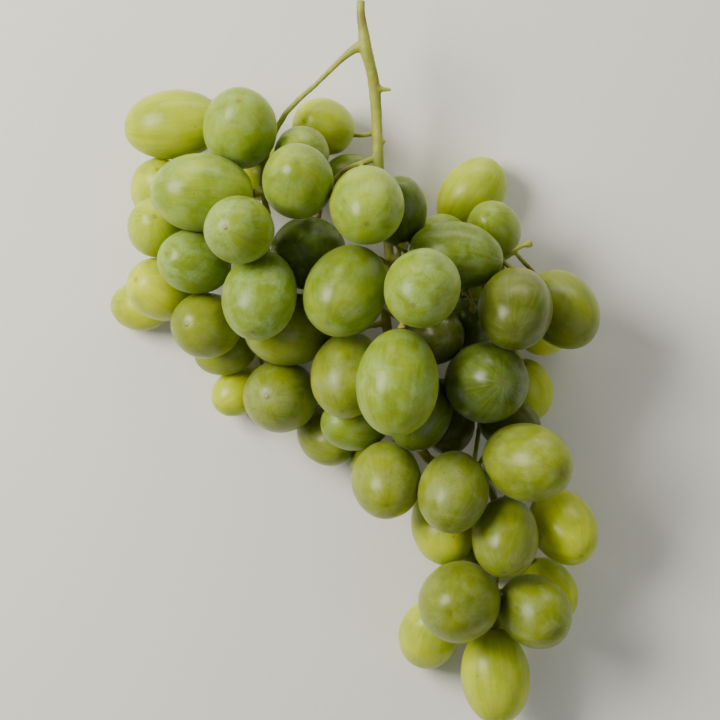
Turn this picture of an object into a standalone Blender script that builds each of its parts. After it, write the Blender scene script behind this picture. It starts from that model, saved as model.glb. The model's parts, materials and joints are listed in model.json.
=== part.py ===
"""A bunch of white table grapes lying on its back: fifty-nine grapes on one branching stem.

Metres, +Z up.  The cut stalk points along +Y and the tail of the bunch along -Y.
Each grape starts at its chosen place and is nudged clear of its neighbours.
The stem then sends a pedicel to every grape through the free space between them.
"""
import heapq
import math
from collections import namedtuple

import bmesh
import bpy
import numpy as np
from mathutils import Matrix, Vector

# ---------------------------------------------------------------- driving dimensions
MM = 0.001                      # the tables below are in millimetres
GRAPE_GAP = 0.35                # air left between two grapes
FLOOR_PRESS = 0.4               # how deep a resting grape is flattened
FLOOR_TOUCH = 0.4               # a grape whose lowest corner is under this rests on the floor
GRAPE_SEGMENTS = 12
GRAPE_RINGS = 8
MERGE_DISTANCE = 1e-6           # metres; corners nearer than this are one corner

STALK_GAP = 0.3                 # air between a pedicel's end and its grape
PEDICEL_RADIUS = 0.75
THICKEST_BRANCH = 1.35          # a pedicel that feeds several grapes grows to this
MIN_RADIUS = 0.5
BURIED_END = 0.85               # a pedicel narrows this much where it enters its branch
FLARE_RADIUS = 1.5              # the receptacle under each grape
FLARE_LENGTH = 1.5
PEDICEL_START = 2.6             # straight length under a grape before the pedicel bends
KNOB_RADIUS = 1.4               # room kept free around that straight length
LIP_SHARE = 0.3                 # where along the receptacle it is widest
FACE_SHARE = 0.9                # the receptacle's end face against its widest radius
BRANCH_GROWTH = 0.3             # a branch's radius grows with the grapes it feeds to this power
BRANCH_SIDES = 2                # bevel level of a main branch's tube
PEDICEL_SIDES = 1               # bevel level of a pedicel's tube

GRID_STEP = 1.7                 # spacing of the grid the pedicels are routed on
GRID_MARGIN = 8.0               # how far the grid reaches past the grapes
SQUEEZE_PRICE = 6.0             # extra cost of a place too narrow for a pedicel
BLOCKED_ROOM = 0.1              # a place with less room than this is inside a grape
BLOCKED_PRICE = 60.0
SMOOTH_STEPS = 60
RELAX_STEPS = 80                # the last steps only push, and smooth no more
PEDICEL_FLOOR_AIR = 0.5         # air between a pedicel and the floor

SETTLE_STEPS = 400
SINK_RATE = 0.03
PULL_ACROSS = 0.03
PULL_HEIGHT = 0.02
SIDE_FREEDOM = 0.25             # grapes slide sideways this much less than they rise
PUSH_SHARE = 0.8                # share of an overlap taken out in one step
SPARE_AIR = 0.01                # added to each push so that it ends clear
CONTACT_MIXES = np.linspace(0.2, 0.8, 7)
FAR_AWAY = 1e6
TINY = 1e-9

# ---------------------------------------------------------------- the grapes
# across, along and height place the middle; heading and lean (degrees) aim the free end
Grape = namedtuple("Grape", "across along height length width heading lean skin")

SHOULDER = (
    Grape(-52, 66, 24, 28, 19, 185, 0, "gold"),
    Grape(-33, 62, 30, 26, 20, 90, 60, "green"),
    Grape(-11, 65, 13, 21, 16, 170, 60, "gold"),
    Grape(-16, 58, 26, 21, 15, 90, 85, "green"),
    Grape(-17, 49, 44, 26, 19, 90, 70, "green"),
    Grape(-3, 51, 22, 20, 15, 180, 55, "green"),
    Grape(-43, 46, 38, 28, 21, 180, 15, "green"),
    Grape(-57, 48, 16, 21, 16, 90, 60, "gold"),
    Grape(-33, 35, 52, 24, 18, 180, 75, "green"),
    Grape(-56, 33, 30, 21, 16, 90, 75, "gold"),
    Grape(-56, 23, 19, 23, 17, 160, 50, "gold"),
    Grape(-46, 26, 34, 23, 17, 165, 50, "green"),
    Grape(-62, 16, 7, 18, 14, 180, -20, "gold"),
    Grape(-27, 18, 44, 27, 20, 260, 40, "green"),
    Grape(-43, 11, 28, 24, 18, 180, 65, "olive"),
    Grape(-15, 30, 30, 26, 20, 180, 70, "green"),
    Grape(-28, 53, 12, 20, 15, 180, -65, "gold"),
)
UPPER = (
    Grape(2, 42, 46, 27, 20, 270, 65, "green"),
    Grape(-4, 19, 46, 29, 22, 240, 45, "green"),
    Grape(12, 40, 30, 21, 15, 90, 35, "green"),
    Grape(31, 46, 14, 23, 17, 50, 0, "gold"),
    Grape(36, 35, 26, 21, 15, 120, 65, "green"),
    Grape(26, 29, 38, 26, 18, 350, 0, "green"),
    Grape(17, 20, 52, 27, 20, 240, 65, "green"),
    Grape(42, 14, 42, 27, 20, 260, 55, "olive"),
    Grape(56, 14, 27, 25, 19, 305, 35, "olive"),
    Grape(52, 9, 10, 20, 15, 0, -65, "gold"),
    Grape(23, 37, 18, 18, 13, 0, -60, "green"),
    Grape(34, 18, 10, 18, 13, 0, -60, "gold"),
)
MIDDLE = (
    Grape(9, -6, 48, 29, 22, 265, 15, "green"),
    Grape(33, -5, 38, 29, 22, 0, 75, "green"),
    Grape(21, 6, 32, 22, 16, 0, 65, "olive"),
    Grape(47, -9, 10, 20, 15, 285, -40, "gold"),
    Grape(-4, -4, 34, 26, 20, 260, 40, "olive"),
    Grape(-19, 6, 30, 26, 20, 180, 25, "olive"),
    Grape(-22, -9, 18, 27, 20, 180, 75, "olive"),
    Grape(-35, -7, 9, 17, 13, 215, 35, "gold"),
    Grape(-38, 1, 12, 18, 13, 190, -20, "olive"),
    Grape(-2, -18, 22, 20, 15, 180, 30, "green"),
    Grape(-9, -21, 10, 20, 15, 315, 45, "olive"),
    Grape(30, 10, 22, 19, 14, 260, -65, "green"),
    Grape(-12, 13, 11, 22, 16, 200, -50, "olive"),
)
TAIL = (
    Grape(7, -33, 32, 26, 19, 270, 60, "olive"),
    Grape(2, -29, 12, 18, 13, 270, -60, "olive"),
    Grape(17, -14, 32, 24, 18, 255, 40, "green"),
    Grape(25, -18, 18, 19, 14, 260, 40, "olive"),
    Grape(42, -18, 22, 21, 15, 330, 50, "olive"),
    Grape(45, -28, 38, 28, 21, 345, 50, "olive"),
    Grape(26, -36, 40, 25, 19, 260, 45, "olive"),
    Grape(23, -47, 22, 23, 17, 285, 25, "gold"),
    Grape(40, -49, 34, 24, 18, 265, 40, "olive"),
    Grape(57, -47, 20, 25, 18, 300, 45, "gold"),
    Grape(53, -66, 9, 20, 15, 300, -15, "gold"),
    Grape(27, -67, 27, 29, 22, 210, 75, "olive"),
    Grape(48, -70, 28, 25, 19, 315, 55, "olive"),
    Grape(20, -78, 9, 23, 17, 260, -50, "gold"),
    Grape(38, -88, 14, 27, 19, 275, 0, "gold"),
    Grape(40, -72, 9, 18, 13, 0, -60, "gold"),
    Grape(35, -56, 9, 20, 15, 180, -65, "olive"),
)
REGIONS = (("shoulder", SHOULDER), ("upper", UPPER), ("middle", MIDDLE), ("tail", TAIL))

# ---------------------------------------------------------------- the stem's main branches
# each point is (across, along, height, radius)
RACHIS = (
    (0, 100, 30, 1.2), (0, 96, 29.5, 1.25), (0.8, 91, 29, 1.55), (1.2, 87, 28.5, 1.9),
    (2.6, 82, 27.5, 1.6), (3.8, 76, 26, 1.7), (4.5, 66, 24, 1.55), (4.8, 57, 23, 1.6),
    (6, 43, 22, 1.4), (8, 29, 22, 1.4), (7, 13, 22, 1.4), (9, 0, 21, 1.4),
    (12, -11, 20, 1.4), (15, -21, 20, 1.5), (19, -28, 21, 1.5), (27, -31, 21, 1.3),
    (35, -34, 21, 1.2), (38, -41, 21, 1.2), (39, -51, 20, 1.1), (38, -61, 19, 1.1),
    (37, -71, 18, 1.0))
SHOULDER_ARM = (
    (1.2, 88, 28.5, 1.7), (-2, 86.5, 28.5, 1.3), (-6, 83.3, 28, 0.9), (-13, 76.5, 27, 0.75),
    (-21, 69, 26, 0.85), (-26, 59, 25, 0.9), (-28, 48, 24, 0.9), (-26, 41, 23, 0.9),
    (-29, 32, 22, 0.9), (-32, 22, 21, 0.85), (-31, 11, 20, 0.8))
CROSS_ARM = (
    (4.8, 57, 23, 0.95), (0, 55, 24, 0.85), (-5, 53, 24, 0.8), (-10, 47, 23, 0.8),
    (-12, 40, 22, 0.8))
RIGHT_ARM = (
    (8, 29, 22, 1.0), (15, 27, 24, 1.0), (25, 25, 22, 0.95), (34, 27, 24, 0.9),
    (41, 29, 26, 0.8), (44, 31.5, 27, 0.7), (47, 32.5, 27, 0.7))
BRANCHES = (RACHIS, SHOULDER_ARM, CROSS_ARM, RIGHT_ARM)
BRANCH_STEP = 2.0               # spacing of the points that pedicels may leave from
TUBE_STEP = 4.0                 # spacing of a branch tube's own points

# a thorn-like nub, a small scar, a broken pedicel and the knob of a lost grape
STUBS = (
    ((3.8, 76, 26, 1.2), (6.4, 75.6, 26.4, 0.75), (8.6, 75.4, 26.7, 0.45)),
    ((4.7, 61, 23.4, 1.0), (7.0, 61.4, 23.8, 0.5)),
    ((7, 15, 22, 0.7), (8, 15.5, 24.5, 0.7), (9, 16, 26.5, 1.1), (9.2, 16.1, 27.2, 0.8)),
    ((45.8, 32.1, 27, 0.8), (47, 32.5, 27, 1.25), (47.8, 32.7, 27, 0.9)),
)

SKINS = {
    "green": ((0.22, 0.27, 0.04), 0.35),
    "olive": ((0.27, 0.26, 0.04), 0.35),
    "gold": ((0.45, 0.44, 0.06), 0.32),
}
STEM_COLOUR = (0.25, 0.21, 0.07)
STEM_ROUGHNESS = 0.7


def smooth_line(points, step):
    """A Catmull-Rom curve through the points, sampled about every step."""
    knots = np.array(points, dtype=float)
    first = 2.0 * knots[0] - knots[1]
    last = 2.0 * knots[-1] - knots[-2]
    knots = np.vstack([first, knots, last])
    samples = []
    for before, start, end, after in zip(knots, knots[1:], knots[2:], knots[3:]):
        count = max(2, int(np.linalg.norm(end - start) / step))
        for t in np.linspace(0.0, 1.0, count, endpoint=False):
            bend = 2.0 * before - 5.0 * start + 4.0 * end - after
            twist = 3.0 * start - before - 3.0 * end + after
            samples.append(start + 0.5 * (t * (end - before) + t * t * bend + t ** 3 * twist))
    samples.append(knots[-2])
    return np.array(samples)


def ellipsoid_matrices(axes, half_length, half_width):
    """The shape matrices a*a along each axis and b*b across it."""
    across = (half_width ** 2)[:, None, None] * np.eye(3)
    stretch = (half_length ** 2 - half_width ** 2)[:, None, None]
    return across + stretch * axes[:, :, None] * axes[:, None, :]


def contact(offset, first, second):
    """Perram-Wertheim contact value of ellipsoid pairs (under 1 they overlap) and its normal."""
    best = np.full(len(offset), -1.0)
    normal = np.zeros_like(offset)
    for mix in CONTACT_MIXES:
        blend = (1.0 - mix) * first + mix * second
        pull = np.linalg.solve(blend, offset[:, :, None])[:, :, 0]
        value = mix * (1.0 - mix) * (offset * pull).sum(axis=1)
        better = value > best
        best[better] = value[better]
        normal[better] = pull[better]
    return best, normal / np.linalg.norm(normal, axis=1)[:, None]


def settle(grapes, axes, beads, bead_radius):
    """Nudge the grapes until none overlaps another, a main branch or a neighbour's pedicel."""
    count = len(grapes)
    target = np.array([(g.across, g.along, g.height) for g in grapes], dtype=float)
    half_length = np.array([g.length / 2.0 for g in grapes])
    half_width = np.array([g.width / 2.0 for g in grapes])
    knob_offset = -axes * (half_length + PEDICEL_START - KNOB_RADIUS)[:, None]

    long_half = np.concatenate([half_length, np.full(count, KNOB_RADIUS), bead_radius])
    wide_half = np.concatenate([half_width, np.full(count, KNOB_RADIUS), bead_radius])
    long_half = long_half + GRAPE_GAP / 2.0
    wide_half = wide_half + GRAPE_GAP / 2.0
    pointing = np.vstack([axes, axes, np.tile([0.0, 0.0, 1.0], (len(beads), 1))])
    shapes = ellipsoid_matrices(pointing, long_half, wide_half)
    owner = np.concatenate([np.arange(count), np.arange(count), np.full(len(beads), -1)])
    lowest_skin = np.sqrt(ellipsoid_matrices(axes, half_length, half_width)[:, 2, 2])
    lowest_pedicel = axes[:, 2] * (half_length + PEDICEL_START) + FLARE_RADIUS
    floor_height = np.maximum(lowest_skin - FLOOR_PRESS / 2.0, lowest_pedicel)

    one, two = np.triu_indices(len(shapes), 1)
    is_grape = one < count
    is_knob = (one >= count) & (one < 2 * count)
    wanted = (is_grape & (owner[one] != owner[two])) | (is_knob & (two < 2 * count))
    one, two = one[wanted], two[wanted]
    freedom = np.array([SIDE_FREEDOM, SIDE_FREEDOM, 1.0])
    middle = target.copy()

    for step in range(2 * SETTLE_STEPS):
        pulling = step < SETTLE_STEPS
        if pulling:
            middle[:, 2] -= SINK_RATE * (1.0 - step / SETTLE_STEPS)
            middle[:, :2] += PULL_ACROSS * (target[:, :2] - middle[:, :2])
            middle[:, 2] += PULL_HEIGHT * (target[:, 2] - middle[:, 2])
        places = np.vstack([middle, middle + knob_offset, beads])
        offset = places[two] - places[one]
        close = (offset ** 2).sum(axis=1) < (long_half[one] + long_half[two]) ** 2
        value, normal = contact(offset[close], shapes[one[close]], shapes[two[close]])
        hit = value < 1.0
        if not pulling and not hit.any():
            break
        first, second = owner[one[close][hit]], owner[two[close][hit]]
        value, normal, offset = value[hit], normal[hit], offset[close][hit]
        depth = (1.0 / np.sqrt(value) - 1.0) * np.abs((offset * normal).sum(axis=1))
        depth += SPARE_AIR
        give = (normal * normal * freedom).sum(axis=1)
        push = PUSH_SHARE * freedom * normal * (depth / give)[:, None]
        fixed = (second < 0)[:, None]
        np.add.at(middle, first, np.where(fixed, -push, -0.5 * push))
        np.add.at(middle, second[second >= 0], 0.5 * push[second >= 0])
        middle[:, 2] = np.maximum(middle[:, 2], floor_height)
    return middle


def clearance(points, middles, inverse_shapes):
    """For each point: distance to the nearest grape skin and the direction away from it."""
    nearest = np.full(len(points), FAR_AWAY)
    away = np.zeros((len(points), 3))
    for middle, inverse in zip(middles, inverse_shapes):
        pulled = (points - middle) @ inverse
        level = np.sqrt((pulled * (points - middle)).sum(axis=1)) + TINY
        slope = np.linalg.norm(pulled, axis=1) + TINY
        distance = (level - 1.0) * level / slope
        closer = distance < nearest
        nearest[closer] = distance[closer]
        away[closer] = pulled[closer] / slope[closer][:, None]
    return nearest, away


def route_pedicels(sources, goals, middles, inverse_shapes):
    """Shortest ways between the grapes: one parent table covering every goal."""
    low = np.minimum(sources.min(axis=0), goals.min(axis=0)) - GRID_MARGIN
    high = np.maximum(sources.max(axis=0), goals.max(axis=0)) + GRID_MARGIN
    low[2] = PEDICEL_RADIUS
    size = ((high - low) / GRID_STEP).astype(int) + 1
    cells = np.indices(size).reshape(3, -1).T
    room, _ = clearance(low + cells * GRID_STEP, middles, inverse_shapes)
    wish = PEDICEL_RADIUS + GRAPE_GAP
    price = 1.0 + SQUEEZE_PRICE * np.clip((wish - room) / wish, 0.0, None)
    price[room < BLOCKED_ROOM] = BLOCKED_PRICE
    price = price.reshape(size)

    def cell_of(point):
        return tuple(np.rint((point - low) / GRID_STEP).astype(int))

    moves = [(i, j, k) for i in (-1, 0, 1) for j in (-1, 0, 1) for k in (-1, 0, 1)]
    moves.remove((0, 0, 0))
    moves = [(move, math.dist(move, (0, 0, 0))) for move in moves]
    cost = np.full(size, np.inf)
    parent = {}
    queue = []
    for point in sources:
        cell = cell_of(point)
        if cost[cell] > 0.0:
            cost[cell] = 0.0
            parent[cell] = None
            queue.append((0.0, cell))
    heapq.heapify(queue)
    missing = {cell_of(goal) for goal in goals}
    while missing:
        spent, cell = heapq.heappop(queue)
        if spent > cost[cell]:
            continue
        missing.discard(cell)
        for (i, j, k), length in moves:
            beside = (cell[0] + i, cell[1] + j, cell[2] + k)
            if min(beside) < 0 or any(b >= s for b, s in zip(beside, size)):
                continue
            total = spent + length * price[beside]
            if total < cost[beside]:
                cost[beside] = total
                parent[beside] = cell
                heapq.heappush(queue, (total, beside))
    return low, cell_of, parent


def grow_tree(starts, sources, middles, inverse_shapes):
    """Nodes, parents and loads of the pedicel tree; starts are the pedicels' straight ends."""
    low, cell_of, parent_cell = route_pedicels(sources, starts, middles, inverse_shapes)
    places, parents, fixed, known = [], [], [], {}

    def node_for(cell):
        if cell in known:
            return known[cell]
        before = parent_cell[cell]
        place = low + np.array(cell) * GRID_STEP
        if before is None:
            index = -1
            place = sources[np.argmin(((sources - place) ** 2).sum(axis=1))]
        else:
            index = node_for(before)
        places.append(place)
        parents.append(index)
        fixed.append(before is None)
        known[cell] = len(places) - 1
        return known[cell]

    leaves = []
    for start in starts:
        cell = parent_cell[cell_of(start)] or cell_of(start)
        index = node_for(cell)
        places.append(start)
        parents.append(index)
        fixed.append(True)
        leaves.append(len(places) - 1)
    places, fixed = np.array(places), np.array(fixed)
    loads = np.zeros(len(places))
    for leaf in leaves:
        node = leaf
        while node >= 0:
            loads[node] += 1.0
            node = parents[node]
    return places, parents, fixed, loads, leaves


def relax_tree(places, parents, fixed, radii, middles, inverse_shapes):
    """Smooth the pedicels, then push them out of the grapes they pass."""
    parents = np.array(parents)
    child = np.flatnonzero(parents >= 0)
    wish = radii + GRAPE_GAP
    for step in range(RELAX_STEPS):
        if step < SMOOTH_STEPS:
            total = np.zeros_like(places)
            count = np.zeros(len(places))
            np.add.at(total, child, places[parents[child]])
            np.add.at(total, parents[child], places[child])
            np.add.at(count, child, 1.0)
            np.add.at(count, parents[child], 1.0)
            mean = total / np.maximum(count, 1.0)[:, None]
            places = np.where(fixed[:, None], places, 0.5 * places + 0.5 * mean)
        room, away = clearance(places, middles, inverse_shapes)
        short = np.clip(wish - room, 0.0, 1.0)
        places = np.where(fixed[:, None], places, places + away * short[:, None])
        lifted = np.maximum(places[:, 2], radii + PEDICEL_FLOOR_AIR)
        places[:, 2] = np.where(fixed, places[:, 2], lifted)
    return places


def tube(points, radii, sides_level):
    """A closed tube through the points as a mesh object, radius set point by point."""
    curve = bpy.data.curves.new("tube", "CURVE")
    curve.dimensions = "3D"
    curve.bevel_depth = MM
    curve.bevel_resolution = sides_level
    curve.use_fill_caps = True
    spline = curve.splines.new("POLY")
    spline.points.add(len(points) - 1)
    for knot, place, radius in zip(spline.points, points, radii):
        knot.co = (*(Vector(place) * MM), 1.0)
        knot.radius = radius
    holder = bpy.data.objects.new("tube_curve", curve)
    bpy.context.scene.collection.objects.link(holder)
    bpy.context.view_layer.update()
    mesh = bpy.data.meshes.new_from_object(holder)
    bpy.data.objects.remove(holder)
    bpy.data.curves.remove(curve)
    clean = bmesh.new()
    clean.from_mesh(mesh)
    bmesh.ops.remove_doubles(clean, verts=clean.verts, dist=MERGE_DISTANCE)
    bmesh.ops.recalc_face_normals(clean, faces=clean.faces)
    clean.to_mesh(mesh)
    clean.free()
    return bpy.data.objects.new("tube", mesh)


def pedicel_tubes(places, parents, loads, radii, leaves, poles, axes):
    """One tube per grape: from its receptacle down to the first thicker branch it meets."""
    heavy = {}
    for node, parent in enumerate(parents):
        if parent >= 0 and (parent not in heavy or loads[node] > loads[heavy[parent]]):
            heavy[parent] = node
    forks = np.bincount([p for p in parents if p >= 0], minlength=len(parents)) > 1
    tubes = []
    for leaf, pole, axis in zip(leaves, poles, axes):
        face = pole - axis * STALK_GAP
        lip = face - axis * FLARE_LENGTH * LIP_SHARE
        neck = face - axis * FLARE_LENGTH
        points = [face, lip, neck, places[leaf]]
        thickness = [FLARE_RADIUS * FACE_SHARE, FLARE_RADIUS, PEDICEL_RADIUS, PEDICEL_RADIUS]
        node = leaf
        step = 0
        joined = False
        while parents[node] >= 0 and not joined:
            parent = parents[node]
            joined = heavy[parent] != node or parents[parent] < 0
            step += 1
            if joined or forks[parent] or step % 2 == 0:
                points.append(places[parent])
                thickness.append(radii[node] * (BURIED_END if joined else 1.0))
            node = parent
        tubes.append(tube(points, thickness, PEDICEL_SIDES))
    return tubes


def union(pieces):
    """The pieces joined into one closed mesh."""
    scene = bpy.context.scene
    operands = bpy.data.collections.new("operands")
    scene.collection.children.link(operands)
    body = pieces[0]
    scene.collection.objects.link(body)
    for piece in pieces[1:]:
        operands.objects.link(piece)
    joining = body.modifiers.new("joining", "BOOLEAN")
    joining.operation = "UNION"
    joining.solver = "MANIFOLD"     # EXACT leaves open edges where several tubes share an end
    joining.operand_type = "COLLECTION"
    joining.collection = operands
    bpy.context.view_layer.update()
    graph = bpy.context.evaluated_depsgraph_get()
    mesh = bpy.data.meshes.new_from_object(body.evaluated_get(graph))
    for piece in pieces:
        bpy.data.objects.remove(piece)
    bpy.data.collections.remove(operands)
    clean = bmesh.new()
    clean.from_mesh(mesh)
    bmesh.ops.remove_doubles(clean, verts=clean.verts, dist=MERGE_DISTANCE)
    bmesh.ops.triangulate(clean, faces=clean.faces)
    clean.to_mesh(mesh)
    clean.free()
    return mesh


def grape_mesh(name, grape, middle, axis):
    """A faceted egg on its axis; one that touches the floor is flattened where it rests."""
    shape = bmesh.new()
    bmesh.ops.create_uvsphere(
        shape, u_segments=GRAPE_SEGMENTS, v_segments=GRAPE_RINGS, radius=1.0)
    half = Vector((grape.width / 2.0, grape.width / 2.0, grape.length / 2.0)) * MM
    aim = Vector((0.0, 0.0, 1.0)).rotation_difference(Vector(axis)).to_matrix().to_4x4()
    aim = aim @ Matrix.Diagonal((*half, 1.0))
    bmesh.ops.transform(shape, matrix=aim, verts=shape.verts)
    bmesh.ops.translate(shape, vec=Vector(middle) * MM, verts=shape.verts)
    lowest = min(vertex.co.z for vertex in shape.verts)
    if lowest < FLOOR_TOUCH * MM:
        drop = -FLOOR_PRESS * MM - lowest
        bmesh.ops.translate(shape, vec=(0.0, 0.0, drop), verts=shape.verts)
        everything = shape.verts[:] + shape.edges[:] + shape.faces[:]
        cut = bmesh.ops.bisect_plane(
            shape, geom=everything, plane_co=(0, 0, 0), plane_no=(0, 0, 1), clear_inner=True)
        rim = [item for item in cut["geom_cut"] if isinstance(item, bmesh.types.BMEdge)]
        bmesh.ops.contextual_create(shape, geom=rim)
        bmesh.ops.recalc_face_normals(shape, faces=shape.faces)
    bmesh.ops.triangulate(shape, faces=shape.faces)
    mesh = bpy.data.meshes.new(name)
    shape.to_mesh(mesh)
    shape.free()
    return mesh


def material(name, colour, roughness):
    """A plain surface of one colour and roughness."""
    skin = bpy.data.materials.new(name)
    skin.use_nodes = True
    surface = skin.node_tree.nodes["Principled BSDF"]
    surface.inputs["Base Color"].default_value = (*colour, 1.0)
    surface.inputs["Roughness"].default_value = roughness
    surface.inputs["Metallic"].default_value = 0.0
    return skin


def main():
    """Settle the grapes, grow the stem between them, and name every piece."""
    for old in list(bpy.data.objects):
        bpy.data.objects.remove(old, do_unlink=True)
    bunch = bpy.data.collections.new("bunch_of_grapes")
    bpy.context.scene.collection.children.link(bunch)

    grapes = [grape for _, region in REGIONS for grape in region]
    names = []
    for region_name, region in REGIONS:
        names += [f"{region_name}_grape_{number:02d}" for number in range(1, len(region) + 1)]
    headings = np.radians([grape.heading for grape in grapes])
    leans = np.radians([grape.lean for grape in grapes])
    axes = np.column_stack([
        np.cos(headings) * np.cos(leans), np.sin(headings) * np.cos(leans), np.sin(leans)])

    samples = np.vstack([smooth_line(branch, BRANCH_STEP) for branch in BRANCHES])
    beads, bead_radius = samples[:, :3], samples[:, 3]
    middles = settle(grapes, axes, beads, bead_radius)

    half_length = np.array([grape.length / 2.0 for grape in grapes])
    half_width = np.array([grape.width / 2.0 for grape in grapes])
    inverse_shapes = np.linalg.inv(ellipsoid_matrices(axes, half_length, half_width))
    poles = middles - axes * half_length[:, None]
    starts = poles - axes * PEDICEL_START
    places, parents, fixed, loads, leaves = grow_tree(starts, beads, middles, inverse_shapes)
    radii = np.minimum(PEDICEL_RADIUS * loads ** BRANCH_GROWTH, THICKEST_BRANCH)
    places = relax_tree(places, parents, fixed, radii, middles, inverse_shapes)
    room, _ = clearance(places, middles, inverse_shapes)
    radii = np.clip(room - GRAPE_GAP, MIN_RADIUS, radii)

    lines = [smooth_line(branch, TUBE_STEP) for branch in BRANCHES]
    lines += [np.array(stub) for stub in STUBS]
    pieces = [tube(line[:, :3], line[:, 3], BRANCH_SIDES) for line in lines]
    pieces += pedicel_tubes(places, parents, loads, radii, leaves, poles, axes)
    meshes = {"stem": union(pieces)}
    for name, grape, middle, axis in zip(names, grapes, middles, axes):
        meshes[name] = grape_mesh(name, grape, middle, axis)

    corners = np.array([vertex.co for mesh in meshes.values() for vertex in mesh.vertices])
    low, high = corners.min(axis=0), corners.max(axis=0)
    to_origin = Matrix.Translation((-(low[0] + high[0]) / 2, -(low[1] + high[1]) / 2, -low[2]))

    skins = {name: material(f"{name}_grape_skin", *look) for name, look in SKINS.items()}
    skins["stem"] = material("stem_bark", STEM_COLOUR, STEM_ROUGHNESS)
    chosen = {name: grape.skin for name, grape in zip(names, grapes)}
    chosen["stem"] = "stem"
    for name, mesh in meshes.items():
        mesh.transform(to_origin)
        mesh.materials.clear()
        mesh.materials.append(skins[chosen[name]])
        bunch.objects.link(bpy.data.objects.new(name, mesh))


main()
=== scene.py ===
"""A bunch of white table grapes lying on its back under soft studio light."""

import json
import math
import random

import bmesh
import bpy
import numpy as np
from mathutils import Matrix, Vector, noise


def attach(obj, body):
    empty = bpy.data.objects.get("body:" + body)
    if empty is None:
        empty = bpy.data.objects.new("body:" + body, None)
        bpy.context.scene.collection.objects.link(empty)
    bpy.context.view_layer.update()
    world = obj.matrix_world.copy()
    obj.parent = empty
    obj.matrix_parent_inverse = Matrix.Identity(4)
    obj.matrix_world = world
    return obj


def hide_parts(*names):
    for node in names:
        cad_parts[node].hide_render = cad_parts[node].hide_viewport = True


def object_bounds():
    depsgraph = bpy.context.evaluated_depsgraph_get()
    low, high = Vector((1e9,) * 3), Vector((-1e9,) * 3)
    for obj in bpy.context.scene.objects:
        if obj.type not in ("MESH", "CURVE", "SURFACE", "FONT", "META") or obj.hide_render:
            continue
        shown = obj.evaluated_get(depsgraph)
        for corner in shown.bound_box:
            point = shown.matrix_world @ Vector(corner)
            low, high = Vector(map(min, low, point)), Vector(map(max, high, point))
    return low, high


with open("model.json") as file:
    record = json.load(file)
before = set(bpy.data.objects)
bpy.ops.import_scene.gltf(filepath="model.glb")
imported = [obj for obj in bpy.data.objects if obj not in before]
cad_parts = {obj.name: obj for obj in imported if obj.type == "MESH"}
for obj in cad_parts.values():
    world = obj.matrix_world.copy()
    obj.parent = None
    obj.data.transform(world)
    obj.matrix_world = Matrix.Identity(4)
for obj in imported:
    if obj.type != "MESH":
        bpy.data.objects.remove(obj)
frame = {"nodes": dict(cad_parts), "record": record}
CAD_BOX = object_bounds()

MM = 0.001
SWELL = 1.022                   # a ripe grape fills the air its plain solid leaves round it
SKIN_GAP = 0.05 * MM            # hairline between two grapes pressed together
SEGMENTS = 48
RINGS = 56
POLE_CROWDING = 0.75            # how strongly the rings crowd towards both ends of a grape
DIMPLE_DEPTH = 0.55 * MM
DIMPLE_WIDTH = 0.17             # radians from the stem end
SCAR_HEIGHT = 0.10 * MM
SCAR_WIDTH = 0.045
RIPPLE_SCALE = 1.3              # lumps of the skin per grape radius
RIPPLE_DEPTH = 0.018
PUCKER_SHARE = 0.35             # depth of the pucker round the scar against the dimple's
PUCKER_SPREAD = 3.5
PRESS_PASSES = 3
FLOOR_AIR = 0.02 * MM
NEIGHBOUR_REACH = 2.4           # in half lengths; a grape further off can not touch
STREAK_ROUND = 8.0              # how finely the veins repeat round a grape
STREAK_ALONG = 0.12             # and how slowly they change along it
JOIN_DISTANCE = 0.002 * MM
STEM_REACH = 2.0 * MM           # the stem comes this near to a grape's stem end

BARK_VOXEL = 0.38 * MM
BARK_SMOOTHING = 4
BARK_LUMP = 1.1 * MM
BARK_GRAIN = 0.45 * MM
BARK_SWELL = 0.07 * MM          # makes up for what the smoothing took off
BARK_ROUGHNESS = 0.06 * MM
COLLAR_START = 1.0 * MM         # browning fades over this stretch below each grape
COLLAR_LENGTH = 1.6 * MM
COLLAR_BROWN = 0.35
CUT_LENGTH = 1.2 * MM
CUT_BROWN = 0.5
PATCH_SIZE = 6.0 * MM

CAMERA_HEIGHT = 0.824
CAMERA_LENS = 142.8
CAMERA_SIDE = 0.2 * MM          # the camera's place is measured from the stalk's cut end
CAMERA_BACK = 100.0 * MM

# grapes that stand out: (ripeness, wax bloom, depth: painted shade that darkens grapes lying in
# shade deep in the bunch)
STANDING_OUT = {
    "shoulder_grape_02": (0.7, 0.8, 0.0), "shoulder_grape_06": (0.6, 0.4, 0.5),
    "shoulder_grape_07": (1.0, 0.7, 0.0), "shoulder_grape_09": (0.6, 0.9, 0.1),
    "shoulder_grape_12": (0.5, 1.0, 0.1), "shoulder_grape_14": (0.3, 1.0, 0.2),
    "shoulder_grape_16": (0.3, 0.5, 0.9), "upper_grape_01": (0.9, 0.6, 0.1),
    "upper_grape_02": (0.8, 0.5, 0.3), "upper_grape_03": (0.5, 0.3, 0.9),
    "upper_grape_06": (0.6, 0.6, 0.6), "upper_grape_07": (0.5, 0.9, 0.2),
    "upper_grape_08": (0.7, 0.3, 0.9), "upper_grape_09": (0.9, 0.3, 0.3),
    "middle_grape_01": (0.8, 0.8, 0.1), "middle_grape_02": (0.4, 0.3, 1.0),
    "middle_grape_03": (0.4, 0.3, 1.0), "middle_grape_12": (0.3, 0.2, 1.0),
    "tail_grape_03": (0.6, 0.3, 0.9), "tail_grape_04": (0.6, 0.3, 1.0),
    "tail_grape_05": (0.6, 0.3, 0.8), "tail_grape_13": (0.5, 0.7, 0.2),
}
SLOTS = {row["node"]: row["material_slot"] for row in frame["record"]["subparts"]}


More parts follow.
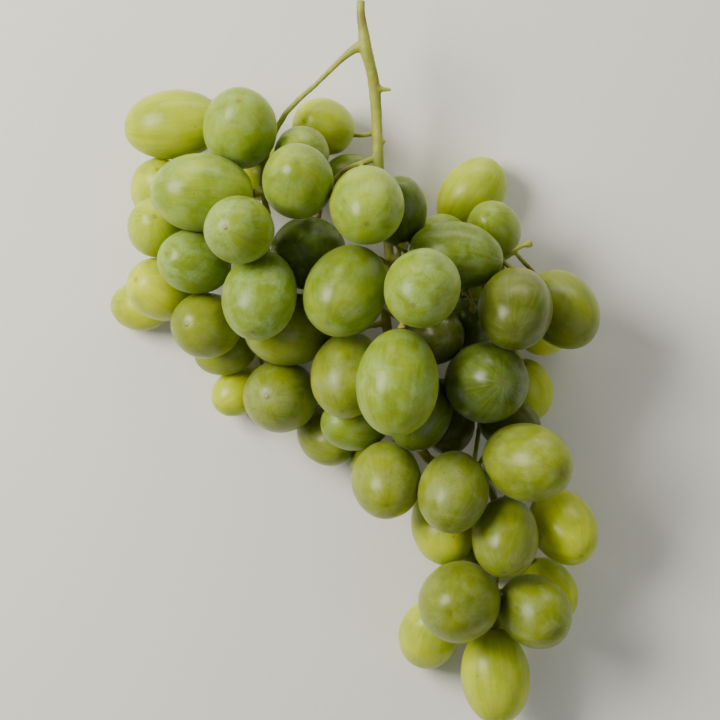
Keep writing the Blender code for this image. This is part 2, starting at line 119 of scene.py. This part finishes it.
# ---------------------------------------------------------------- colours and nodes
def colour(code):
    """An sRGB hex code as a linear colour."""
    values = [int(code[start:start + 2], 16) / 255.0 for start in (1, 3, 5)]
    linear = [v / 12.92 if v <= 0.04045 else ((v + 0.055) / 1.055) ** 2.4 for v in values]
    return (*linear, 1.0)


def node(tree, kind, links=None, **settings):
    """Adds a node, sets its properties, and links or fills its inputs."""
    made = tree.nodes.new(kind)
    for name, value in settings.items():
        setattr(made, name, value)
    for socket, source in (links or {}).items():
        if isinstance(source, bpy.types.NodeSocket):
            tree.links.new(source, made.inputs[socket])
        else:
            made.inputs[socket].default_value = source
    return made


def blank_material(name):
    """A material with an empty Principled surface, and its tree and shader."""
    made = bpy.data.materials.new(name)
    made.use_nodes = True
    return made, made.node_tree, made.node_tree.nodes["Principled BSDF"]


def ramp(tree, source, low, high):
    """Stretches the part of a value between low and high over 0 to 1."""
    return node(tree, "ShaderNodeMapRange", {
        "Value": source, "From Min": low, "From Max": high, "To Min": 0.0, "To Max": 1.0,
    }).outputs["Result"]


def mixed(tree, amount, first, second):
    """One colour laid over another by an amount."""
    made = node(tree, "ShaderNodeMix", data_type="RGBA")
    for socket, source in ((0, amount), (6, first), (7, second)):
        if isinstance(source, bpy.types.NodeSocket):
            tree.links.new(source, made.inputs[socket])
        else:
            made.inputs[socket].default_value = source
    return made.outputs[2]


def scaled(tree, source, factor, offset=0.0):
    """A value times a factor plus an offset."""
    return node(tree, "ShaderNodeMath", {0: source, 1: factor, 2: offset},
                operation="MULTIPLY_ADD").outputs[0]


def product(tree, first, second):
    """Two values multiplied."""
    return node(tree, "ShaderNodeMath", {0: first, 1: second}, operation="MULTIPLY").outputs[0]


# ---------------------------------------------------------------- materials
def grape_skin(name, flesh, ripe, vein_and_painted_shade, bloom, bloom_strength):
    """Thin waxed skin over clear juicy flesh: light soaks in and comes back yellow-green.

    The wax bloom lies in cloudy patches that dull the shine, veins show faintly along the
    grape, and the stem end and the flower scar are browned.
    """
    made, tree, shader = blank_material(name)
    place = node(tree, "ShaderNodeAttribute", attribute_name="skin_place").outputs["Vector"]
    streak = node(tree, "ShaderNodeAttribute", attribute_name="streak_place").outputs["Vector"]
    grown = node(tree, "ShaderNodeAttribute", attribute_name="grown").outputs["Fac"]
    ripeness = node(tree, "ShaderNodeAttribute", attribute_name="ripeness").outputs["Fac"]
    waxing = node(tree, "ShaderNodeAttribute", attribute_name="waxing").outputs["Fac"]
    depth = node(tree, "ShaderNodeAttribute", attribute_name="depth").outputs["Fac"]

    # flesh: cloudy areas 8 mm across
    clouds = node(tree, "ShaderNodeTexNoise", {
        "Vector": place, "Scale": 0.12, "Detail": 3.0, "Roughness": 0.5}).outputs["Fac"]
    ripe_amount = node(tree, "ShaderNodeMath", {0: ramp(tree, clouds, 0.35, 0.68), 1: ripeness},
                       operation="MULTIPLY", use_clamp=True).outputs[0]
    body = mixed(tree, ripe_amount, colour(flesh), colour(ripe))
    # painted shade: depth darkens the grapes that lie in shade in the bunch towards the shade
    # colour; the small random depths of the other grapes are tone that differs from grape to
    # grape
    body = mixed(tree, scaled(tree, depth, 0.85), body, colour(vein_and_painted_shade))
    # veins run from the stem end to the tip, about 1.4 mm apart
    veins = node(tree, "ShaderNodeTexNoise", {
        "Vector": streak, "Scale": 0.9, "Detail": 2.0, "Roughness": 0.6}).outputs["Fac"]
    body = mixed(tree, scaled(tree, ramp(tree, veins, 0.5, 0.75), 0.22), body, colour(ripe))
    body = mixed(tree, scaled(tree, ramp(tree, veins, 0.5, 0.25), 0.28), body, colour(vein_and_painted_shade))

    # wax bloom: patches about 5 mm across, rubbed away in specks of 0.5 mm
    patches = node(tree, "ShaderNodeTexNoise", {
        "Vector": place, "Scale": 0.21, "Detail": 5.0, "Roughness": 0.62,
        "Distortion": 0.6}).outputs["Fac"]
    grain = node(tree, "ShaderNodeTexNoise", {
        "Vector": place, "Scale": 1.9, "Detail": 4.0, "Roughness": 0.7}).outputs["Fac"]
    wax = product(tree, ramp(tree, patches, 0.42, 0.64), ramp(tree, grain, 0.2, 0.7))
    wax = product(tree, wax, waxing)
    body = mixed(tree, scaled(tree, wax, bloom_strength), body, colour(bloom))

    # lenticels: pale pinpoints 0.4 mm wide and a few brown ones, some 2 mm apart
    points = node(tree, "ShaderNodeTexVoronoi", {"Vector": place, "Scale": 0.55,
                                                 "Randomness": 1.0})
    dot = ramp(tree, points.outputs["Distance"], 0.16, 0.06)
    pick = node(tree, "ShaderNodeSeparateColor", {"Color": points.outputs["Color"]})
    pale = product(tree, dot, ramp(tree, pick.outputs["Red"], 0.55, 0.7))
    brown = product(tree, dot, ramp(tree, pick.outputs["Green"], 0.93, 0.97))
    body = mixed(tree, scaled(tree, pale, 0.25), body, colour("#c3c878"))
    body = mixed(tree, scaled(tree, brown, 0.8), body, colour("#5a4a1e"))

    # the stem end is ringed with green-brown, and the flower scar is a dry brown dot
    ring = ramp(tree, grown, 0.018, 0.006)
    scar = ramp(tree, grown, 0.9975, 0.9992)
    body = mixed(tree, scaled(tree, ring, 0.75), body, colour("#6b6a2a"))
    body = mixed(tree, scaled(tree, scar, 0.45), body, colour("#6a5a26"))

    dull = scaled(tree, wax, 0.25, 0.31)
    dull = node(tree, "ShaderNodeMath", {0: dull, 1: scaled(tree, grain, 0.10, -0.05)},
                operation="ADD", use_clamp=True).outputs[0]
    relief = node(tree, "ShaderNodeBump", {
        "Strength": 0.12, "Distance": 0.05 * MM, "Height": grain})
    tree.links.new(body, shader.inputs["Base Color"])
    tree.links.new(dull, shader.inputs["Roughness"])
    tree.links.new(relief.outputs["Normal"], shader.inputs["Normal"])
    shader.inputs["IOR"].default_value = 1.38
    shader.inputs["Subsurface Weight"].default_value = 1.0
    shader.inputs["Subsurface Radius"].default_value = (1.0, 0.9, 0.15)
    shader.inputs["Subsurface Scale"].default_value = 6.0 * MM
    shader.inputs["Sheen Weight"].default_value = 0.10
    shader.inputs["Sheen Roughness"].default_value = 0.28
    shader.inputs["Sheen Tint"].default_value = colour("#f2f5c4")
    return made


def vine_bark():
    """Green herbaceous stalk, flecked and rough, browning under grapes and at its cut end."""
    made, tree, shader = blank_material("green_vine_stalk")
    place = node(tree, "ShaderNodeTexCoord").outputs["Object"]
    age = node(tree, "ShaderNodeAttribute", attribute_name="age").outputs["Fac"]
    # blotches 5 mm across, flecks 0.4 mm across
    blotches = node(tree, "ShaderNodeTexNoise", {
        "Vector": place, "Scale": 190.0, "Detail": 4.0, "Roughness": 0.6}).outputs["Fac"]
    flecks = node(tree, "ShaderNodeTexNoise", {
        "Vector": place, "Scale": 2400.0, "Detail": 3.0, "Roughness": 0.7}).outputs["Fac"]
    body = mixed(tree, ramp(tree, blotches, 0.35, 0.65), colour("#848f2c"), colour("#a5a840"))
    body = mixed(tree, scaled(tree, ramp(tree, flecks, 0.55, 0.75), 0.35), body,
                 colour("#7a5f2c"))
    body = mixed(tree, age, body, colour("#7d4f28"))
    rough = scaled(tree, flecks, 0.25, 0.42)
    relief = node(tree, "ShaderNodeBump", {
        "Strength": 0.35, "Distance": 0.12 * MM, "Height": flecks})
    tree.links.new(body, shader.inputs["Base Color"])
    tree.links.new(rough, shader.inputs["Roughness"])
    tree.links.new(relief.outputs["Normal"], shader.inputs["Normal"])
    shader.inputs["Subsurface Weight"].default_value = 0.25
    shader.inputs["Subsurface Radius"].default_value = (1.0, 0.8, 0.25)
    shader.inputs["Subsurface Scale"].default_value = 0.8 * MM
    return made


def painted_board():
    """Matt painted board: flat, pale and even, with the faintest roller texture."""
    made, tree, shader = blank_material("matt_painted_board")
    place = node(tree, "ShaderNodeTexCoord").outputs["Object"]
    roller = node(tree, "ShaderNodeTexNoise", {
        "Vector": place, "Scale": 700.0, "Detail": 2.0}).outputs["Fac"]
    body = mixed(tree, roller, colour("#dcdad5"), colour("#e2e0db"))
    relief = node(tree, "ShaderNodeBump", {
        "Strength": 0.05, "Distance": 0.1 * MM, "Height": roller})
    tree.links.new(body, shader.inputs["Base Color"])
    tree.links.new(relief.outputs["Normal"], shader.inputs["Normal"])
    shader.inputs["Roughness"].default_value = 0.8
    return made


# ---------------------------------------------------------------- reading the frame
def merged_copy(name, source):
    """A copy of a frame node's mesh with its loose triangles joined up."""
    shape = bmesh.new()
    shape.from_mesh(source.data)
    bmesh.ops.remove_doubles(shape, verts=shape.verts, dist=JOIN_DISTANCE)
    mesh = bpy.data.meshes.new(name)
    shape.to_mesh(mesh)
    shape.free()
    return mesh


class Berry:
    """Where one grape sits: middle, direction from stem end to tip, and half sizes."""

    def __init__(self, name, source, stalk_points):
        mesh = merged_copy(name + "_reading", source)
        corners = np.array([vertex.co for vertex in mesh.vertices])
        faces = np.array([corners[list(face.vertices)] for face in mesh.polygons])
        weights = np.array([face.area for face in mesh.polygons])
        bpy.data.meshes.remove(mesh)
        centres = faces.mean(axis=1)
        middle = (centres * weights[:, None]).sum(axis=0) / weights.sum()
        spread = ((centres - middle) * weights[:, None]).T @ (centres - middle)
        axis = np.linalg.eigh(spread)[1][:, -1]
        along = (corners - middle) @ axis
        self.half_length = np.abs(along).max()
        across = np.linalg.norm((corners - middle) - along[:, None] * axis, axis=1)
        self.half_width = across.max()
        ends = middle + np.outer((-1.0, 1.0), axis) * self.half_length
        near = [(np.linalg.norm(stalk_points - end, axis=1) < STEM_REACH).sum() for end in ends]
        if near[1] > near[0]:
            axis = -axis
        self.name = name
        self.middle = middle
        self.axis = axis
        self.stem_end = middle - axis * self.half_length
        ball = np.eye(3) * (self.half_width * SWELL) ** 2
        stretch = (self.half_length * SWELL) ** 2 - (self.half_width * SWELL) ** 2
        self.inverse = np.linalg.inv(ball + stretch * np.outer(axis, axis))

    def outside(self, points):
        """Distance outside this grape's skin (negative inside) and the way out."""
        pulled = (points - self.middle) @ self.inverse
        level = np.sqrt((pulled * (points - self.middle)).sum(axis=1)) + 1e-9
        slope = np.linalg.norm(pulled, axis=1) + 1e-9
        return (level - 1.0) * level / slope, pulled / slope[:, None]


# ---------------------------------------------------------------- grapes
def grape_shape(berry, seed):
    """A swollen egg with a dimple at the stem end and a scar at the tip, in its own frame."""
    chance = random.Random(seed)
    lean = chance.uniform(-0.02, 0.05)
    drift = Vector([chance.uniform(-50.0, 50.0) for _ in range(3)])
    shape = bmesh.new()
    bmesh.ops.create_uvsphere(shape, u_segments=SEGMENTS, v_segments=RINGS, radius=1.0)
    places, grown, turns = [], [], []
    for vertex in shape.verts:
        polar = math.acos(max(-1.0, min(1.0, -vertex.co.z)))
        turn = math.atan2(vertex.co.y, vertex.co.x)
        crowded = polar - POLE_CROWDING * 0.5 * math.sin(2.0 * polar)
        rise = -math.cos(crowded)
        girth = math.sin(crowded) * (1.0 + lean * rise)
        ripple = noise.noise(Vector((math.cos(turn) * girth, math.sin(turn) * girth, rise))
                             * RIPPLE_SCALE + drift)
        swell = SWELL * (1.0 + RIPPLE_DEPTH * ripple)
        away_from_stem = crowded / DIMPLE_WIDTH
        away_from_tip = (math.pi - crowded) / SCAR_WIDTH
        dent = DIMPLE_DEPTH * math.exp(-away_from_stem ** 2)
        bead = SCAR_HEIGHT * math.exp(-away_from_tip ** 4)
        pucker = PUCKER_SHARE * DIMPLE_DEPTH * math.exp(-(away_from_tip / PUCKER_SPREAD) ** 2)
        vertex.co = (
            berry.half_width * swell * girth * math.cos(turn),
            berry.half_width * swell * girth * math.sin(turn),
            berry.half_length * swell * rise + dent + bead - pucker)
        grown.append(0.5 - 0.5 * math.cos(crowded))
        turns.append((math.cos(turn), math.sin(turn)))
        places.append(Vector(vertex.co))
    return shape, places, grown, turns, drift


def press_together(points, berry, neighbours):
    """Flattens a grape where it meets the ones beside it, and where it meets the floor."""
    for _ in range(PRESS_PASSES):
        for other in neighbours:
            distance, out = other.outside(points)
            depth = np.clip(SKIN_GAP - distance, 0.0, None)
            points = points + out * (0.5 * depth)[:, None]
    points[:, 2] = np.maximum(points[:, 2], FLOOR_AIR)
    return points


def grape(berry, berries, skin, look, seed):
    """One grape put in its place, pressed to its neighbours; look is as in STANDING_OUT."""
    shape, places, grown, turns, drift = grape_shape(berry, seed)
    aim = Vector((0.0, 0.0, 1.0)).rotation_difference(Vector(berry.axis)).to_matrix().to_4x4()
    spin = Matrix.Rotation(random.Random(seed + 500).uniform(0.0, math.tau), 4, "Z")
    put = Matrix.Translation(berry.middle) @ aim @ spin
    bmesh.ops.transform(shape, matrix=put, verts=shape.verts)
    reach = berry.half_length * NEIGHBOUR_REACH
    neighbours = [other for other in berries if other is not berry
                  and np.linalg.norm(other.middle - berry.middle) < reach + other.half_length]
    points = np.array([vertex.co for vertex in shape.verts])
    for vertex, point in zip(shape.verts, press_together(points, berry, neighbours)):
        vertex.co = point
    for face in shape.faces:
        face.smooth = True
    mesh = bpy.data.meshes.new(berry.name + "_skin")
    shape.to_mesh(mesh)
    shape.free()

    skin_place = mesh.attributes.new("skin_place", "FLOAT_VECTOR", "POINT")
    streak_place = mesh.attributes.new("streak_place", "FLOAT_VECTOR", "POINT")
    for index, (place, (cosine, sine)) in enumerate(zip(places, turns)):
        skin_place.data[index].vector = place / MM + drift
        streak_place.data[index].vector = Vector(
            (cosine * STREAK_ROUND, sine * STREAK_ROUND, place.z / MM * STREAK_ALONG)) + drift
    mesh.attributes.new("grown", "FLOAT", "POINT").data.foreach_set("value", grown)
    count = len(mesh.vertices)
    for trait, value in zip(("ripeness", "waxing", "depth"), look):
        mesh.attributes.new(trait, "FLOAT", "POINT").data.foreach_set("value", [value] * count)
    mesh.materials.append(skin)
    made = bpy.data.objects.new(berry.name + "_skin", mesh)
    bpy.context.scene.collection.objects.link(made)
    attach(made, "root")
    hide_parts(berry.name)


# ---------------------------------------------------------------- stem
def stalk(berries, bark):
    """The stem's tubes melted together, with fleshy joints and a rough skin."""
    mesh = merged_copy("stem_bark", frame["nodes"]["stem"])
    made = bpy.data.objects.new("stem_bark", mesh)
    bpy.context.scene.collection.objects.link(made)
    melt = made.modifiers.new("melt", "REMESH")
    melt.mode = "VOXEL"
    melt.voxel_size = BARK_VOXEL
    bpy.context.view_layer.update()
    graph = bpy.context.evaluated_depsgraph_get()
    melted = bpy.data.meshes.new_from_object(made.evaluated_get(graph))
    made.modifiers.clear()
    made.data = melted
    bpy.data.meshes.remove(mesh)

    shape = bmesh.new()
    shape.from_mesh(melted)
    for _ in range(BARK_SMOOTHING):
        bmesh.ops.smooth_vert(shape, verts=shape.verts, factor=0.5,
                              use_axis_x=True, use_axis_y=True, use_axis_z=True)
    shape.normal_update()
    for vertex in shape.verts:
        rough = noise.noise(vertex.co / BARK_LUMP) + 0.6 * noise.noise(vertex.co / BARK_GRAIN)
        vertex.co += vertex.normal * (BARK_SWELL + BARK_ROUGHNESS * rough)
    for face in shape.faces:
        face.smooth = True
    shape.to_mesh(melted)
    shape.free()

    points = np.array([vertex.co for vertex in melted.vertices])
    ends = np.array([berry.stem_end for berry in berries])
    nearest = np.full(len(points), 1.0)
    for end in ends:
        nearest = np.minimum(nearest, np.linalg.norm(points - end, axis=1))
    collar = np.clip(1.0 - (nearest - COLLAR_START) / COLLAR_LENGTH, 0.0, 1.0) * COLLAR_BROWN
    top = points[:, 1].max()
    cut = np.clip(1.0 - (top - points[:, 1]) / CUT_LENGTH, 0.0, 1.0) * CUT_BROWN
    patches = np.array([noise.noise(Vector(point) / PATCH_SIZE) for point in points])
    age = np.clip(np.maximum(collar, cut) + np.clip(patches - 0.15, 0.0, 1.0) * 1.1, 0.0, 1.0)
    melted.attributes.new("age", "FLOAT", "POINT").data.foreach_set("value", age)
    melted.materials.clear()
    melted.materials.append(bark)
    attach(made, "root")
    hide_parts("stem")


# ---------------------------------------------------------------- studio
def softbox(name, place, target, width, height, power, tint):
    """A rectangular lamp turned to its target."""
    lamp = bpy.data.lights.new(name, "AREA")
    lamp.shape = "RECTANGLE"
    lamp.size = width
    lamp.size_y = height
    lamp.energy = power
    lamp.color = colour(tint)[:3]
    made = bpy.data.objects.new(name, lamp)
    made.location = place
    made.rotation_euler = (Vector(target) - Vector(place)).to_track_quat("-Z", "Y").to_euler()
    bpy.context.scene.collection.objects.link(made)


def studio():
    """A pale floor, a large key lamp from the upper left, a weak fill and a low back lamp."""
    low, high = CAD_BOX
    middle = (low + high) / 2.0
    floor_shape = bmesh.new()
    bmesh.ops.create_grid(floor_shape, x_segments=1, y_segments=1, size=3.0)
    floor_mesh = bpy.data.meshes.new("floor")
    floor_shape.to_mesh(floor_mesh)
    floor_shape.free()
    floor_mesh.materials.append(painted_board())
    floor = bpy.data.objects.new("floor", floor_mesh)
    bpy.context.scene.collection.objects.link(floor)

    softbox("key", middle + Vector((-0.50, 0.22, 0.52)), middle, 0.40, 0.34, 10.0, "#fffbee")
    softbox("fill", middle + Vector((0.60, -0.35, 0.60)), middle, 0.70, 0.70, 1.5, "#f6f7f0")
    softbox("rim", middle + Vector((0.10, 0.85, 0.18)), middle, 0.90, 0.20, 5.0, "#fffbe6")
    world = bpy.data.worlds.new("studio")
    world.use_nodes = True
    sky = world.node_tree.nodes["Background"]
    sky.inputs["Color"].default_value = colour("#f1f2f4")
    sky.inputs["Strength"].default_value = 0.28
    bpy.context.scene.world = world


def camera(stem_corners):
    """Looks straight down on the bunch, so the stalk's cut end touches the frame's edge."""
    cut_end = stem_corners[stem_corners[:, 1] > stem_corners[:, 1].max() - 0.5 * MM].mean(axis=0)
    lens = bpy.data.cameras.new("camera")
    lens.sensor_width = 36.0
    lens.lens = CAMERA_LENS
    lens.clip_start = 0.01
    made = bpy.data.objects.new("camera", lens)
    made.location = (cut_end[0] - CAMERA_SIDE, cut_end[1] - CAMERA_BACK, CAMERA_HEIGHT)
    bpy.context.scene.collection.objects.link(made)
    bpy.context.scene.camera = made


def main():
    """Dress every grape and the stem, then set the floor, the lamps and the camera."""
    skins = {
        "grape_skin_green": grape_skin(
            "waxed_skin_green", "#7a9019", "#9cac24", "#42520c", "#9dbc80", 0.70),
        "grape_skin_olive": grape_skin(
            "waxed_skin_olive", "#788614", "#9aa41e", "#4a530c", "#a6b67c", 0.55),
        # painted light: the gold skin is brighter and yellower to stand in for back light
        # glowing through the grapes it is given
        "grape_skin_gold": grape_skin(
            "waxed_skin_gold", "#9fb00e", "#cdd414", "#78860c", "#c3cd86", 0.35),
    }
    bark = vine_bark()
    stem_corners = np.array([vertex.co for vertex in frame["nodes"]["stem"].data.vertices])
    names = sorted(name for name in SLOTS if name != "stem")
    berries = [Berry(name, frame["nodes"][name], stem_corners) for name in names]
    for seed, berry in enumerate(berries):
        chance = random.Random(seed + 900)
        slot = SLOTS[berry.name]
        ordinary = (chance.uniform(0.5, 1.0), chance.uniform(0.3, 0.8), chance.uniform(0.0, 0.3))
        look = STANDING_OUT.get(berry.name, ordinary)
        grape(berry, berries, skins[slot], look, seed)
    stalk(berries, bark)
    studio()
    camera(stem_corners)


main()
